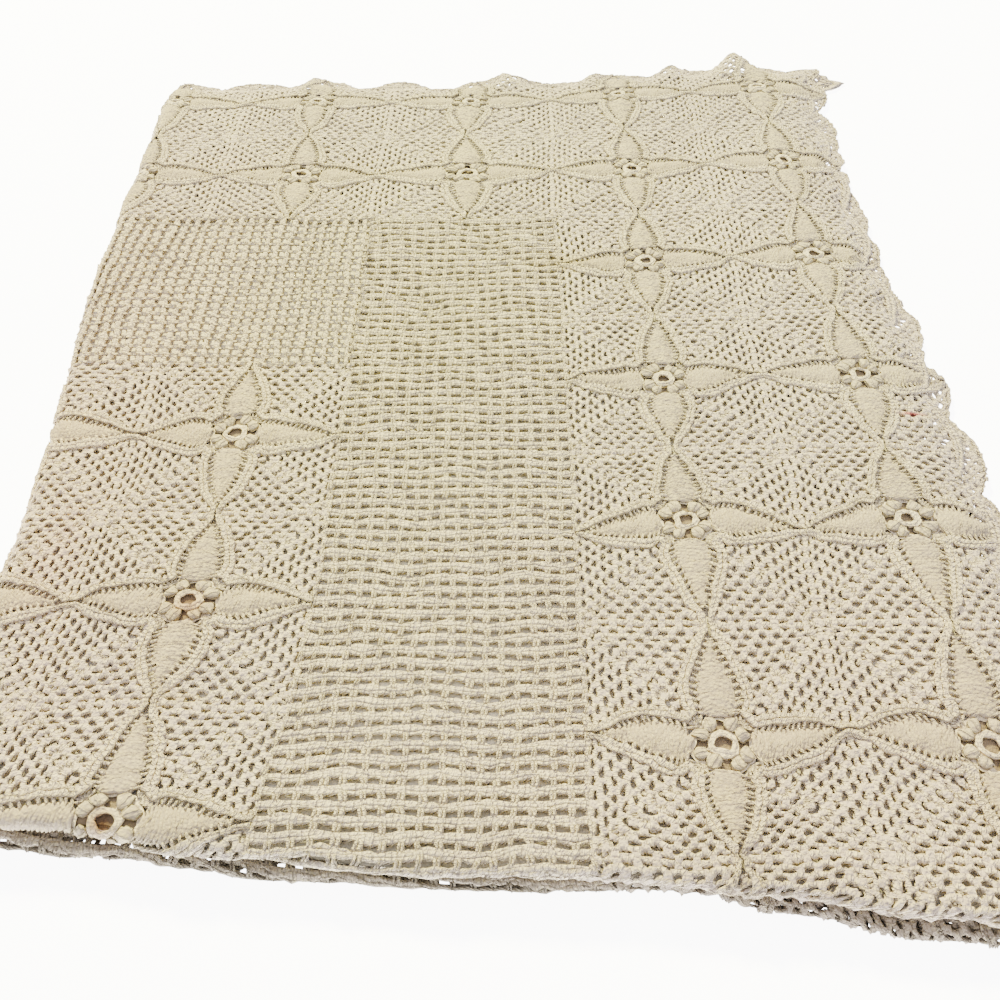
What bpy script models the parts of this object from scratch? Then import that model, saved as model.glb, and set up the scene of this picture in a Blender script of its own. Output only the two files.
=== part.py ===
"""Crochet bedspread, folded in four and lying flat.

The bedspread is one sheet of thick cotton crochet with scalloped edges. It is folded towards the
back near its middle row, and the pair of layers is folded again at its side. So four layers lie on
each other: two folds face the near side, one nested fold is at the left, and the scalloped edges
are together at the far side and at the right.

The sheet is made once, as a grid of the flat cloth. A point of the flat cloth is "across" metres
right of the pattern's centre line and "along" metres beyond its middle row. The function folded()
carries that point to where it lies in the stack.
"""

import math
from collections import namedtuple

import bmesh
import bpy
from mathutils import Vector

# The cloth, in metres
THICKNESS = 0.0036  # crochet in 2 mm cotton
BLOCK = 0.19  # side of a flower square
HALF_BLOCK = BLOCK / 2
BAND_BLOCK = 0.215  # the third square is as wide as the plain band that it heads
BORDER_HALF = 0.076  # from the last flowers' centres to the foot of the scallops
SCALLOP = 0.016  # height of one scallop; each square has one at its middle and one at its seam

# The folded stack, in metres. A pitch is the distance from one layer's middle to the next.
PITCH_MIDDLE = 0.0066
PITCH_EDGE = 0.0046  # the free edges lie closer
PITCH_NEAR_FOLD = 0.0088
PITCH_SIDE_FOLD = 0.0076
EDGE_SLOPE = 0.11  # over this width the stack thins towards its free edges
FOLD_SLOPE = 0.09  # over this width it thickens towards its folds
RIM_DROP = 0.0085  # how far the tips of the top layer's scallops hang down
RIM_WIDTH = 0.034
STACK_MIDDLE = (0.4373, 0.5575)  # across and along, at the middle of the stack's outline

SIDE_BEND = 1.5 * PITCH_SIDE_FOLD * math.pi / 2  # cloth from the fold's crest to its straight part
NEAR_BEND = 0.5 * PITCH_NEAR_FOLD * math.pi / 2
SIDE_FOLD_NEAR = 0.034  # the side fold runs a little askew to the pattern's centre line
SIDE_FOLD_SLANT = -0.053

SIDE_BEND_STEPS = 6
NEAR_BEND_STEPS = 6
RIM_STEPS = 3  # grid lines between the last flowers and the scallops
SCALLOP_CUTS = 3  # extra points in each long edge of the outline
SHORTEST_CUT_EDGE = 0.03

Square = namedtuple("Square", "centre half_width")
SQUARES_ACROSS = (
    Square(0.0, HALF_BLOCK),
    Square(BLOCK, HALF_BLOCK),
    Square(1.5 * BLOCK + BAND_BLOCK / 2, BAND_BLOCK / 2),
    Square(2 * BLOCK + BAND_BLOCK, HALF_BLOCK),
    Square(3 * BLOCK + BAND_BLOCK, HALF_BLOCK),
)
SQUARES_ALONG = tuple(Square((row + 0.5) * BLOCK, HALF_BLOCK) for row in range(6))
HALF_WIDTH = SQUARES_ACROSS[-1].centre + BORDER_HALF
HALF_LENGTH = SQUARES_ALONG[-1].centre + BORDER_HALF

# The two near folds: where the upper pair's fold lies in the pattern, and how far the lower pair's
# fold stands out past it.
NearFold = namedtuple("NearFold", "across along lower_out")
NEAR_FOLDS = (
    NearFold(0.00, 0.030, 0.012),
    NearFold(0.14, 0.023, 0.013),
    NearFold(0.28, 0.001, 0.009),
    NearFold(0.40, -0.011, -0.002),
    NearFold(0.52, -0.014, -0.003),
    NearFold(0.62, -0.024, 0.006),
    NearFold(0.72, -0.038, 0.008),
    NearFold(0.90, -0.058, 0.004),
)

# How far inside the top layer's edges each lower layer ends, and how far its corner comes out again
Layer = namedtuple("Layer", "far_in side_in corner_out")
TOP = Layer(0.0, 0.0, 0.0)
TOP_UNDER = Layer(0.024, 0.020, 0.0)
BOTTOM_OVER = Layer(0.019, 0.027, 0.016)
BOTTOM = Layer(0.026, 0.022, 0.024)
CORNER_REACH = 0.07

# Places where the whole stack is drawn aside, and where it lies higher or lower than the rest
Pull = namedtuple("Pull", "across along reach_across reach_along shift_across shift_along")
PULLS = (
    Pull(0.90, 1.00, 0.30, 0.52, 0.004, 0.046),
    Pull(0.90, 1.14, 0.12, 0.12, 0.018, -0.006),
    Pull(0.00, 0.82, 0.10, 0.20, -0.005, 0.000),
    Pull(0.12, 0.00, 0.24, 0.16, -0.026, 0.000),
    Pull(0.38, 1.14, 0.16, 0.14, 0.006, -0.010),
    Pull(0.02, 1.14, 0.16, 0.14, -0.004, -0.016),
)
Hump = namedtuple("Hump", "across along reach_across reach_along share")
HUMPS = (
    Hump(0.12, 0.24, 0.11, 0.09, 0.10),
    Hump(0.24, 0.62, 0.16, 0.10, -0.08),
    Hump(0.39, 0.20, 0.07, 0.30, -0.09),
    Hump(0.60, 0.06, 0.10, 0.06, 0.16),
    Hump(0.69, 0.38, 0.07, 0.12, 0.10),
    Hump(0.50, 0.86, 0.12, 0.09, 0.09),
    Hump(0.80, 0.72, 0.07, 0.10, 0.12),
    Hump(0.16, 0.97, 0.10, 0.08, 0.08),
)


def eased(share):
    """0 to 1 as share goes from 0 to 1, with no corner at either end."""
    share = min(max(share, 0.0), 1.0)
    return share * share * (3 - 2 * share)


def from_table(rows, across, column):
    """The column's value at this distance, eased from each row to the next."""
    if across <= rows[0].across:
        return getattr(rows[0], column)
    for before, after in zip(rows, rows[1:]):
        if across <= after.across:
            share = eased((across - before.across) / (after.across - before.across))
            return getattr(before, column) * (1 - share) + getattr(after, column) * share
    return getattr(rows[-1], column)


def bell(place, x, y):
    """1 at a pull's or hump's middle, fading to nothing about two reaches away."""
    dx = (x - place.across) / place.reach_across
    dy = (y - place.along) / place.reach_along
    return math.exp(-dx * dx - dy * dy)


def side_fold(along):
    """Where the side fold's crest lies across the cloth."""
    return SIDE_FOLD_NEAR + SIDE_FOLD_SLANT * abs(along)


def near_fold(across):
    """Where the near fold's crest lies along the cloth."""
    return from_table(NEAR_FOLDS, abs(across), "along")


def of_layers(column, turned_side, turned_near):
    """A column of the layers' rows, mixed by how far a point is round each fold."""
    upper = getattr(TOP, column) * (1 - turned_near) + getattr(TOP_UNDER, column) * turned_near
    lower = getattr(BOTTOM, column) * (1 - turned_near) + getattr(BOTTOM_OVER, column) * turned_near
    return upper * (1 - turned_side) + lower * turned_side


def pitch(x, y, from_side, from_near, to_right, to_far):
    """The distance between layers at a place in the stack."""
    height = PITCH_MIDDLE
    thinner = eased(1 - min(to_right, to_far) / EDGE_SLOPE)
    height += (PITCH_EDGE - PITCH_MIDDLE) * thinner
    near_share = eased(1 - from_near / FOLD_SLOPE)
    side_share = eased(1 - from_side / FOLD_SLOPE)
    height += (PITCH_NEAR_FOLD - PITCH_MIDDLE) * near_share * (1 - thinner)
    height += (PITCH_SIDE_FOLD - PITCH_MIDDLE) * side_share * (1 - near_share) * (1 - thinner)
    return height * (1 + sum(hump.share * bell(hump, x, y) for hump in HUMPS))


def folded(across, along):
    """Where a point of the flat cloth lies in the folded stack."""
    fold_along = near_fold(across)
    side = (across - side_fold(along)) / SIDE_BEND
    near = (along - fold_along) / NEAR_BEND
    side_turn = math.pi / 2 * (1 - min(max(side, -1.0), 1.0))
    near_turn = math.pi / 2 * (1 - min(max(near, -1.0), 1.0))
    turned_side = (1 - math.cos(side_turn)) / 2
    turned_near = (1 - math.cos(near_turn)) / 2

    # Along: from the near fold to the far edge, which each layer reaches at its own distance
    out = from_table(NEAR_FOLDS, abs(across), "lower_out") * turned_side
    top_reach = HALF_LENGTH - fold_along - NEAR_BEND
    own_reach = HALF_LENGTH - fold_along * math.copysign(1, near) - NEAR_BEND
    wanted = top_reach + out - of_layers("far_in", turned_side, turned_near)
    from_near = max(abs(near) - 1, 0.0) * NEAR_BEND * wanted / own_reach
    y = fold_along + NEAR_BEND - out + from_near

    # Across: from the side fold to the right edge
    fold_across = side_fold(y)
    right_reach = HALF_WIDTH - fold_across - SIDE_BEND
    own_reach = HALF_WIDTH - fold_across * math.copysign(1, side) - SIDE_BEND
    wanted = right_reach - of_layers("side_in", turned_side, turned_near)
    from_side = max(abs(side) - 1, 0.0) * SIDE_BEND * wanted / own_reach
    x = fold_across + SIDE_BEND + from_side

    to_far = top_reach + out - from_near
    to_right = right_reach - from_side
    gap = pitch(x, y, from_side, from_near, to_right, to_far)
    corner = of_layers("corner_out", turned_side, turned_near)
    corner *= eased(1 - to_far / CORNER_REACH) * eased(1 - to_right / CORNER_REACH)
    shift = [sum(pull[i] * bell(pull, x, y) for pull in PULLS) for i in (4, 5)]

    # A point's level counts pitches up from the bottom layer
    ring = 1 + 0.5 * math.cos(near_turn)
    level = 1.5 + math.cos(side_turn) * ring
    x += shift[0] + corner - math.sin(side_turn) * ring * gap
    y += shift[1] + corner - 0.5 * math.sin(near_turn) * gap
    rim = max(eased(1 - to_far / RIM_WIDTH), eased(1 - to_right / RIM_WIDTH))
    hang = RIM_DROP * rim * (1 - turned_side) * (1 - turned_near)
    return Vector((x - STACK_MIDDLE[0], y - STACK_MIDDLE[1], THICKNESS / 2 + level * gap - hang))


def half_lines(squares, end):
    """The grid's lines from the first square's outer seam to the cloth's edge: one at each flower
    centre and seam, and closer ones at the rim."""
    lines = []
    for square in squares:
        lines += [square.centre, square.centre + square.half_width]
    lines = [line for line in lines if squares[0].half_width * 0.99 < line < squares[-1].centre * 1.001]
    last = lines[-1]
    lines += [last + (end - last) * step / RIM_STEPS for step in range(1, RIM_STEPS + 1)]
    return lines


def all_lines(squares, end, crest, bend, steps):
    """Both halves' lines, with a fold's lines between them."""
    half = half_lines(squares, end)
    fold = [crest + bend * (2 * step / steps - 1) for step in range(steps + 1)]
    beside = [-(half[0] - fold[0]) / 2, (half[0] + fold[-1]) / 2]
    return [-line for line in reversed(half)] + beside[:1] + fold + beside[1:] + half


def scallop(position, squares):
    """The height of the scallops beside a place on the edge: round lobes with a notch between."""
    position = abs(position)
    for square in squares:
        if position <= square.centre + square.half_width:
            return SCALLOP * abs(math.cos(math.pi * (position - square.centre) / square.half_width))
    return SCALLOP


def flat_cloth():
    """The flat sheet: a grid whose lines follow the pattern and the folds, with scalloped edges."""
    columns = len(all_lines(SQUARES_ACROSS, HALF_WIDTH, 0, SIDE_BEND, SIDE_BEND_STEPS))
    rows = len(all_lines(SQUARES_ALONG, HALF_LENGTH, 0, NEAR_BEND, NEAR_BEND_STEPS))
    cloth = bmesh.new()
    bmesh.ops.create_grid(cloth, x_segments=columns - 1, y_segments=rows - 1, size=1)
    for vert in cloth.verts:
        column = round((vert.co.x + 1) / 2 * (columns - 1))
        row = round((vert.co.y + 1) / 2 * (rows - 1))
        rough_along = (2 * row / (rows - 1) - 1) * HALF_LENGTH
        crest = side_fold(rough_along)
        across = all_lines(SQUARES_ACROSS, HALF_WIDTH, crest, SIDE_BEND, SIDE_BEND_STEPS)[column]
        crest = near_fold(across)
        along = all_lines(SQUARES_ALONG, HALF_LENGTH, crest, NEAR_BEND, NEAR_BEND_STEPS)[row]
        vert.co = (across, along, 0)
    outline = [
        edge for edge in cloth.edges
        if edge.is_boundary and edge.calc_length() > SHORTEST_CUT_EDGE
    ]
    bmesh.ops.subdivide_edges(cloth, edges=outline, cuts=SCALLOP_CUTS)
    for vert in cloth.verts:
        across, along, _ = vert.co
        if abs(across) > HALF_WIDTH - 1e-6:
            vert.co.x += math.copysign(scallop(along, SQUARES_ALONG), across)
        if abs(along) > HALF_LENGTH - 1e-6:
            vert.co.y += math.copysign(scallop(across, SQUARES_ACROSS), along)
    return cloth


def crochet_cotton():
    material = bpy.data.materials.new("crochet_cotton")
    material.use_nodes = True
    shader = material.node_tree.nodes["Principled BSDF"]
    shader.inputs["Base Color"].default_value = (0.73, 0.66, 0.52, 1)
    shader.inputs["Roughness"].default_value = 0.9
    shader.inputs["Metallic"].default_value = 0.0
    return material


def bedspread(collection):
    """The whole bedspread: the flat cloth, folded, then given its thickness."""
    cloth = flat_cloth()
    for vert in cloth.verts:
        vert.co = folded(vert.co.x, vert.co.y)
    mesh = bpy.data.meshes.new("bedspread")
    cloth.to_mesh(mesh)
    cloth.free()
    mesh.shade_smooth()
    mesh.materials.append(crochet_cotton())
    sheet = bpy.data.objects.new("bedspread", mesh)
    collection.objects.link(sheet)
    solid = sheet.modifiers.new("thickness", "SOLIDIFY")
    solid.thickness = THICKNESS
    solid.offset = 0
    return sheet


def main():
    for obj in list(bpy.data.objects):
        bpy.data.objects.remove(obj)
    collection = bpy.data.collections.new("crochet_bedspread")
    bpy.context.scene.collection.children.link(collection)
    bedspread(collection)


main()
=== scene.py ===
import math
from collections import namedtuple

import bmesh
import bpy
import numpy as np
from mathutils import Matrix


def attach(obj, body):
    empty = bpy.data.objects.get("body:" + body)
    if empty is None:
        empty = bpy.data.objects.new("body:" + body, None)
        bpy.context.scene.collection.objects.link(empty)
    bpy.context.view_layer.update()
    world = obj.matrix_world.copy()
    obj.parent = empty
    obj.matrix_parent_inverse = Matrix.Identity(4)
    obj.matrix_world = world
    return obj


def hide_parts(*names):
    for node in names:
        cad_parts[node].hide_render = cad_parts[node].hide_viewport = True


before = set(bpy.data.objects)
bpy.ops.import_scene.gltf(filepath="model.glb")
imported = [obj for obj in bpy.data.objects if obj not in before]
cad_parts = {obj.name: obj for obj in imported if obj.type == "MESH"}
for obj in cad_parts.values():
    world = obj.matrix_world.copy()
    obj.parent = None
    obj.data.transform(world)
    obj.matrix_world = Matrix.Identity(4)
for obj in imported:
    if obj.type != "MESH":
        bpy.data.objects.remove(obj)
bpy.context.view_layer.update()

# %% [markdown]
# # A crochet bedspread, folded in four
#
# The real thing is one sheet of thick cotton crochet: squares with a raised four-petal flower, bands of
# plain openwork, and a scalloped edge. It lies folded in four, so most of what we see is the front of one
# quarter, and the edges and folds of the other three.
#
# We work as the maker does. First the pattern is worked flat, stitch by stitch, as yarn along paths.
# Then every point of the flat lace is carried to its place in the folded stack. Flat work is easy to
# measure and to change, and the fold is written only once.

# %% [markdown]
# ## How the cloth lies
#
# A point of the flat cloth is "across" metres right of the pattern's centre line and "along" metres
# beyond its middle row. The cloth is folded towards its back near the middle row, and the pair of
# layers is folded again at the side. The same few sizes as in the solid model say where it lies.

# %% Sizes of the cloth
THICKNESS = 0.0036
BLOCK = 0.19  # side of a flower square
HALF_BLOCK = BLOCK / 2
BAND_BLOCK = 0.215  # the third square is as wide as the plain band that it heads
BORDER_HALF = 0.076  # from the last flowers' centres to the foot of the scallops
SCALLOP = 0.016  # height of one scallop

Square = namedtuple("Square", "centre half_width")
SQUARES_ACROSS = (
    Square(0.0, HALF_BLOCK),
    Square(BLOCK, HALF_BLOCK),
    Square(1.5 * BLOCK + BAND_BLOCK / 2, BAND_BLOCK / 2),
    Square(2 * BLOCK + BAND_BLOCK, HALF_BLOCK),
    Square(3 * BLOCK + BAND_BLOCK, HALF_BLOCK),
)
SQUARES_ALONG = tuple(Square((row + 0.5) * BLOCK, HALF_BLOCK) for row in range(-1, 6))
HALF_WIDTH = SQUARES_ACROSS[-1].centre + BORDER_HALF
HALF_LENGTH = SQUARES_ALONG[-1].centre + BORDER_HALF
FLAT_SIZE = (2 * (HALF_WIDTH + SCALLOP), 2 * (HALF_LENGTH + SCALLOP))
print("opened, the cloth is", [round(side, 3) for side in FLAT_SIZE], "m")

# %% Sizes of the folded stack
# A pitch is the distance from one layer's middle to the next. The free edges lie closer together.
PITCH_MIDDLE = 0.0066
PITCH_EDGE = 0.0046
PITCH_NEAR_FOLD = 0.0088
PITCH_SIDE_FOLD = 0.0076
EDGE_SLOPE = 0.11  # over this width the stack thins towards its free edges
FOLD_SLOPE = 0.09  # over this width it thickens towards its folds
RIM_DROP = 0.0085  # how far the tips of the top layer's scallops hang down
RIM_WIDTH = 0.034
STACK_MIDDLE = (0.4373, 0.5575)  # across and along, at the middle of the stack's outline
SIDE_BEND = 1.5 * PITCH_SIDE_FOLD * math.pi / 2  # cloth from the fold's crest to its straight part
NEAR_BEND = 0.5 * PITCH_NEAR_FOLD * math.pi / 2
SIDE_FOLD_NEAR = 0.034  # the side fold runs a little askew to the pattern's centre line
SIDE_FOLD_SLANT = -0.053

# Where the upper near fold lies in the pattern, and how far the lower one stands out past it
NearFold = namedtuple("NearFold", "across along lower_out")
NEAR_FOLDS = (
    NearFold(0.00, 0.030, 0.008),
    NearFold(0.14, 0.023, 0.015),
    NearFold(0.28, 0.001, 0.009),
    NearFold(0.40, -0.011, 0.002),
    NearFold(0.46, -0.012, 0.003),
    NearFold(0.52, -0.014, -0.001),
    NearFold(0.57, -0.019, -0.003),
    NearFold(0.62, -0.024, 0.004),
    NearFold(0.72, -0.038, 0.008),
    NearFold(0.90, -0.058, 0.004),
)
# How far inside the top layer's edges each lower layer ends, and how far its corner comes out again
CORNER_REACH = 0.07
Layer = namedtuple("Layer", "far_in side_in corner_out")
TOP = Layer(0.0, 0.0, 0.0)
TOP_UNDER = Layer(0.024, 0.020, 0.0)
BOTTOM_OVER = Layer(0.019, 0.027, 0.016)
BOTTOM = Layer(0.026, 0.022, 0.024)

# %% Pulls, lobes and humps
# No cloth lies quite straight. A pull shifts all the layers round its place.
Pull = namedtuple("Pull", "across along reach_across reach_along shift_across shift_along")
PULLS = (
    Pull(0.90, 1.00, 0.30, 0.52, 0.004, 0.046),
    Pull(0.90, 1.14, 0.12, 0.12, 0.018, -0.006),
    Pull(0.00, 0.82, 0.10, 0.20, -0.005, 0.000),
    Pull(0.12, 0.00, 0.24, 0.16, -0.026, 0.000),
    Pull(0.38, 1.14, 0.16, 0.14, 0.006, -0.010),
    Pull(0.02, 1.14, 0.16, 0.14, -0.004, -0.016),
    Pull(0.86, 0.30, 0.10, 0.22, 0.008, 0.000),
    Pull(0.00, 0.62, 0.10, 0.17, -0.013, 0.000),
)
# The top layer's scallops do not lie flat: some are pulled out or back, and some curl up. One corner
# of a lower layer is pulled out from under the others.
Lobe = namedtuple("Lobe", "place reach out rise", defaults=(0.0,))
LOBE_DEPTH = 0.05
FAR_LOBES = (
    Lobe(0.173, 0.014, 0.000, 0.008),
    Lobe(0.256, 0.024, -0.011),
    Lobe(0.356, 0.028, -0.014),
    Lobe(0.446, 0.023, 0.006, 0.014),
    Lobe(0.508, 0.024, -0.015),
    Lobe(0.564, 0.016, 0.000, 0.008),
    Lobe(0.678, 0.016, 0.000, 0.010),
    Lobe(0.766, 0.026, 0.010, 0.021),
)
RIGHT_LOBES = (
    Lobe(0.520, 0.012, -0.008),
    Lobe(0.545, 0.018, 0.006),
    Lobe(0.610, 0.014, -0.008),
    Lobe(0.690, 0.028, -0.015),
    Lobe(0.800, 0.022, -0.009),
    Lobe(0.896, 0.014, -0.012),
    Lobe(0.950, 0.014, 0.009),
)
CORNER_TIP = Lobe(1.122, 0.030, 0.086)
# A hump is where the layers lie looser. Its share of the pitch is added to every pitch there.
Hump = namedtuple("Hump", "across along reach_across reach_along share")
HUMPS = (
    Hump(0.12, 0.24, 0.11, 0.09, 0.10),
    Hump(0.24, 0.62, 0.16, 0.10, -0.08),
    Hump(0.39, 0.20, 0.07, 0.30, -0.09),
    Hump(0.60, 0.06, 0.10, 0.06, 0.16),
    Hump(0.69, 0.38, 0.07, 0.12, 0.10),
    Hump(0.50, 0.86, 0.12, 0.09, 0.09),
    Hump(0.80, 0.72, 0.07, 0.10, 0.12),
    Hump(0.16, 0.97, 0.10, 0.08, 0.08),
)
print("the cloth has", len(PULLS), "pulls,", len(FAR_LOBES + RIGHT_LOBES), "lobes and", len(HUMPS), "humps")


# %% From the flat cloth to the folded stack
def eased(share):
    """0 to 1 as share goes from 0 to 1, with no corner at either end."""
    share = np.clip(share, 0, 1)
    return share * share * (3 - 2 * share)


def from_table(rows, at, column):
    """The column's value at each place, eased from each row of the table to the next."""
    places = np.array([row.across for row in rows])
    values = np.array([getattr(row, column) for row in rows])
    row = np.clip(np.searchsorted(places, at, side="right") - 1, 0, len(rows) - 2)
    share = eased((at - places[row]) / (places[row + 1] - places[row]))
    return values[row] * (1 - share) + values[row + 1] * share


def bell(place, x, y):
    """1 at a place's middle, fading to nothing about two reaches away."""
    dx = (x - place.across) / place.reach_across
    dy = (y - place.along) / place.reach_along
    return np.exp(-dx * dx - dy * dy)


def lobe_share(lobe, at, to_edge):
    """1 at a lobe's middle on the edge, fading to nothing beside it and inwards."""
    return np.exp(-(((at - lobe.place) / lobe.reach) ** 2)) * eased(1 - to_edge / LOBE_DEPTH)


def side_fold(along):
    return SIDE_FOLD_NEAR + SIDE_FOLD_SLANT * np.abs(along)


def near_fold(across):
    return from_table(NEAR_FOLDS, np.abs(across), "along")


def of_layers(column, turned_side, turned_near):
    """A column of the layers' rows, mixed by how far a point is round each fold."""
    upper = getattr(TOP, column) * (1 - turned_near) + getattr(TOP_UNDER, column) * turned_near
    lower = getattr(BOTTOM, column) * (1 - turned_near) + getattr(BOTTOM_OVER, column) * turned_near
    return upper * (1 - turned_side) + lower * turned_side


def pitch(x, y, from_side, from_near, to_right, to_far):
    """The distance between layers at a place in the stack."""
    thinner = eased(1 - np.minimum(to_right, to_far) / EDGE_SLOPE)
    near_share = eased(1 - from_near / FOLD_SLOPE)
    side_share = eased(1 - from_side / FOLD_SLOPE)
    height = PITCH_MIDDLE + (PITCH_EDGE - PITCH_MIDDLE) * thinner
    height = height + (PITCH_NEAR_FOLD - PITCH_MIDDLE) * near_share * (1 - thinner)
    height = height + (PITCH_SIDE_FOLD - PITCH_MIDDLE) * side_share * (1 - near_share) * (1 - thinner)
    return height * (1 + sum(hump.share * bell(hump, x, y) for hump in HUMPS))


def folded(across, along):
    """Where points of the flat cloth's middle lie in the folded stack."""
    fold_along = near_fold(across)
    side = (across - side_fold(along)) / SIDE_BEND
    near = (along - fold_along) / NEAR_BEND
    side_turn = math.pi / 2 * (1 - np.clip(side, -1, 1))
    near_turn = math.pi / 2 * (1 - np.clip(near, -1, 1))
    turned_side = (1 - np.cos(side_turn)) / 2
    turned_near = (1 - np.cos(near_turn)) / 2

    # Along: from the near fold to the far edge, which each layer reaches at its own distance
    out = from_table(NEAR_FOLDS, np.abs(across), "lower_out") * turned_side
    top_reach = HALF_LENGTH - fold_along - NEAR_BEND
    own_reach = HALF_LENGTH - fold_along * np.copysign(1, near) - NEAR_BEND
    wanted = top_reach + out - of_layers("far_in", turned_side, turned_near)
    from_near = np.maximum(np.abs(near) - 1, 0) * NEAR_BEND * wanted / own_reach
    y = fold_along + NEAR_BEND - out + from_near

    # Across: from the side fold to the right edge
    fold_across = side_fold(y)
    right_reach = HALF_WIDTH - fold_across - SIDE_BEND
    own_reach = HALF_WIDTH - fold_across * np.copysign(1, side) - SIDE_BEND
    wanted = right_reach - of_layers("side_in", turned_side, turned_near)
    from_side = np.maximum(np.abs(side) - 1, 0) * SIDE_BEND * wanted / own_reach
    x = fold_across + SIDE_BEND + from_side

    to_far = top_reach + out - from_near
    to_right = right_reach - from_side
    gap = pitch(x, y, from_side, from_near, to_right, to_far)
    corner = of_layers("corner_out", turned_side, turned_near)
    corner = corner * eased(1 - to_far / CORNER_REACH) * eased(1 - to_right / CORNER_REACH)
    shift_x = sum(pull.shift_across * bell(pull, x, y) for pull in PULLS)
    shift_y = sum(pull.shift_along * bell(pull, x, y) for pull in PULLS)

    # A point's level counts pitches up from the bottom layer
    ring = 1 + 0.5 * np.cos(near_turn)
    level = 1.5 + np.cos(side_turn) * ring
    x = x + shift_x + corner - np.sin(side_turn) * ring * gap
    y = y + shift_y + corner - 0.5 * np.sin(near_turn) * gap
    rim = np.maximum(eased(1 - to_far / RIM_WIDTH), eased(1 - to_right / RIM_WIDTH))
    on_top = (1 - turned_side) * (1 - turned_near)
    z = THICKNESS / 2 + level * gap - RIM_DROP * rim * on_top
    for lobe in FAR_LOBES:
        share = lobe_share(lobe, x, to_far) * on_top
        y = y + lobe.out * share
        z = z + lobe.rise * share
    for lobe in RIGHT_LOBES:
        x = x + lobe.out * (lobe_share(lobe, y, to_right) * on_top)
    tip = lobe_share(CORNER_TIP, y, to_right)
    x = x + CORNER_TIP.out * tip * turned_side * (1 - turned_near)
    return np.stack([x - STACK_MIDDLE[0], y - STACK_MIDDLE[1], z], axis=1)


def laid(flat):
    """Carries points of the flat lace (across, along, height over the cloth's middle) to the stack."""
    step = 0.0004  # to a neighbour in each direction, which shows how the cloth is tilted
    across, along, height = flat[:, 0], flat[:, 1], flat[:, 2]
    middle = folded(across, along)
    rightwards = folded(across + step, along) - middle
    onwards = folded(across, along + step) - middle
    normal = np.cross(rightwards, onwards)
    normal /= np.linalg.norm(normal, axis=1, keepdims=True)
    return middle + normal * height[:, None]


print("the middle of the flat quarter comes to", laid(np.array([[0.4, 0.55, 0.0]])).round(3).tolist())

# %% [markdown]
# ## Yarn along paths
#
# All of the lace is cotton yarn, so all of it can be made in one way: a path, and a section that is
# carried along it. The path comes as a mesh of edges, and a Geometry Nodes tree turns it into a curve,
# makes it wave as a row of crochet does, and sweeps the section. Changing one size then changes every
# stitch. The class below lets us write a tree as Python expressions.


# %% Node trees as Python expressions
class Formula:
    """A node's output. An operator on it adds the Math node that works it out."""

    def __init__(self, tree, socket):
        self.tree = tree
        self.socket = socket

    def __add__(self, other):
        return self.tree.maths("ADD", self, other)

    def __radd__(self, other):
        return self.tree.maths("ADD", other, self)

    def __sub__(self, other):
        return self.tree.maths("SUBTRACT", self, other)

    def __rsub__(self, other):
        return self.tree.maths("SUBTRACT", other, self)

    def __mul__(self, other):
        return self.tree.maths("MULTIPLY", self, other)

    def __rmul__(self, other):
        return self.tree.maths("MULTIPLY", other, self)


class Tree:
    """A node tree of a material or of Geometry Nodes, written as expressions."""

    def __init__(self, group):
        self.group = group

    def put(self, kind, settings=None, sockets=None, out=0):
        """Adds a node: its settings are set first, then its sockets get values or links."""
        node = self.group.nodes.new(kind)
        for name, value in (settings or {}).items():
            setattr(node, name, value)
        for name, value in (sockets or {}).items():
            if isinstance(value, Formula):
                self.group.links.new(value.socket, node.inputs[name])
            else:
                node.inputs[name].default_value = value
        return Formula(self, node.outputs[out]) if node.outputs else None

    def maths(self, operation, *values):
        return self.put("ShaderNodeMath", {"operation": operation}, dict(enumerate(values)))

    def vector(self, operation, *values):
        return self.put("ShaderNodeVectorMath", {"operation": operation}, dict(enumerate(values)))


class Growth(Tree):
    """A Geometry Nodes tree with named inputs."""

    def __init__(self, name, **inputs):
        super().__init__(bpy.data.node_groups.new(name, "GeometryNodeTree"))
        face = self.group.interface
        face.new_socket("Geometry", in_out="INPUT", socket_type="NodeSocketGeometry")
        for label, kind in inputs.items():
            label = label.replace("_", " ").capitalize()
            face.new_socket(label, in_out="INPUT", socket_type="NodeSocket" + kind)
        face.new_socket("Geometry", in_out="OUTPUT", socket_type="NodeSocketGeometry")
        self.start = self.group.nodes.new("NodeGroupInput")

    def given(self, label):
        return Formula(self, self.start.outputs[label])

    def attribute(self, name, kind="FLOAT"):
        return self.put("GeometryNodeInputNamedAttribute", {"data_type": kind}, {"Name": name})

    def store(self, geometry, name, value):
        return self.put(
            "GeometryNodeStoreNamedAttribute",
            {"data_type": "FLOAT", "domain": "POINT"},
            {"Geometry": geometry, "Name": name, "Value": value},
        )

    def end(self, geometry):
        """Every tree ends alike: instances are realized, then the material is set."""
        geometry = self.put("GeometryNodeRealizeInstances", {}, {"Geometry": geometry})
        smooth = self.put("GeometryNodeSetShadeSmooth", {}, {"Geometry": geometry})
        final = self.put(
            "GeometryNodeSetMaterial", {}, {"Geometry": smooth, "Material": self.given("Material")}
        )
        output = self.group.nodes.new("NodeGroupOutput")
        self.group.links.new(final.socket, output.inputs["Geometry"])


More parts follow.
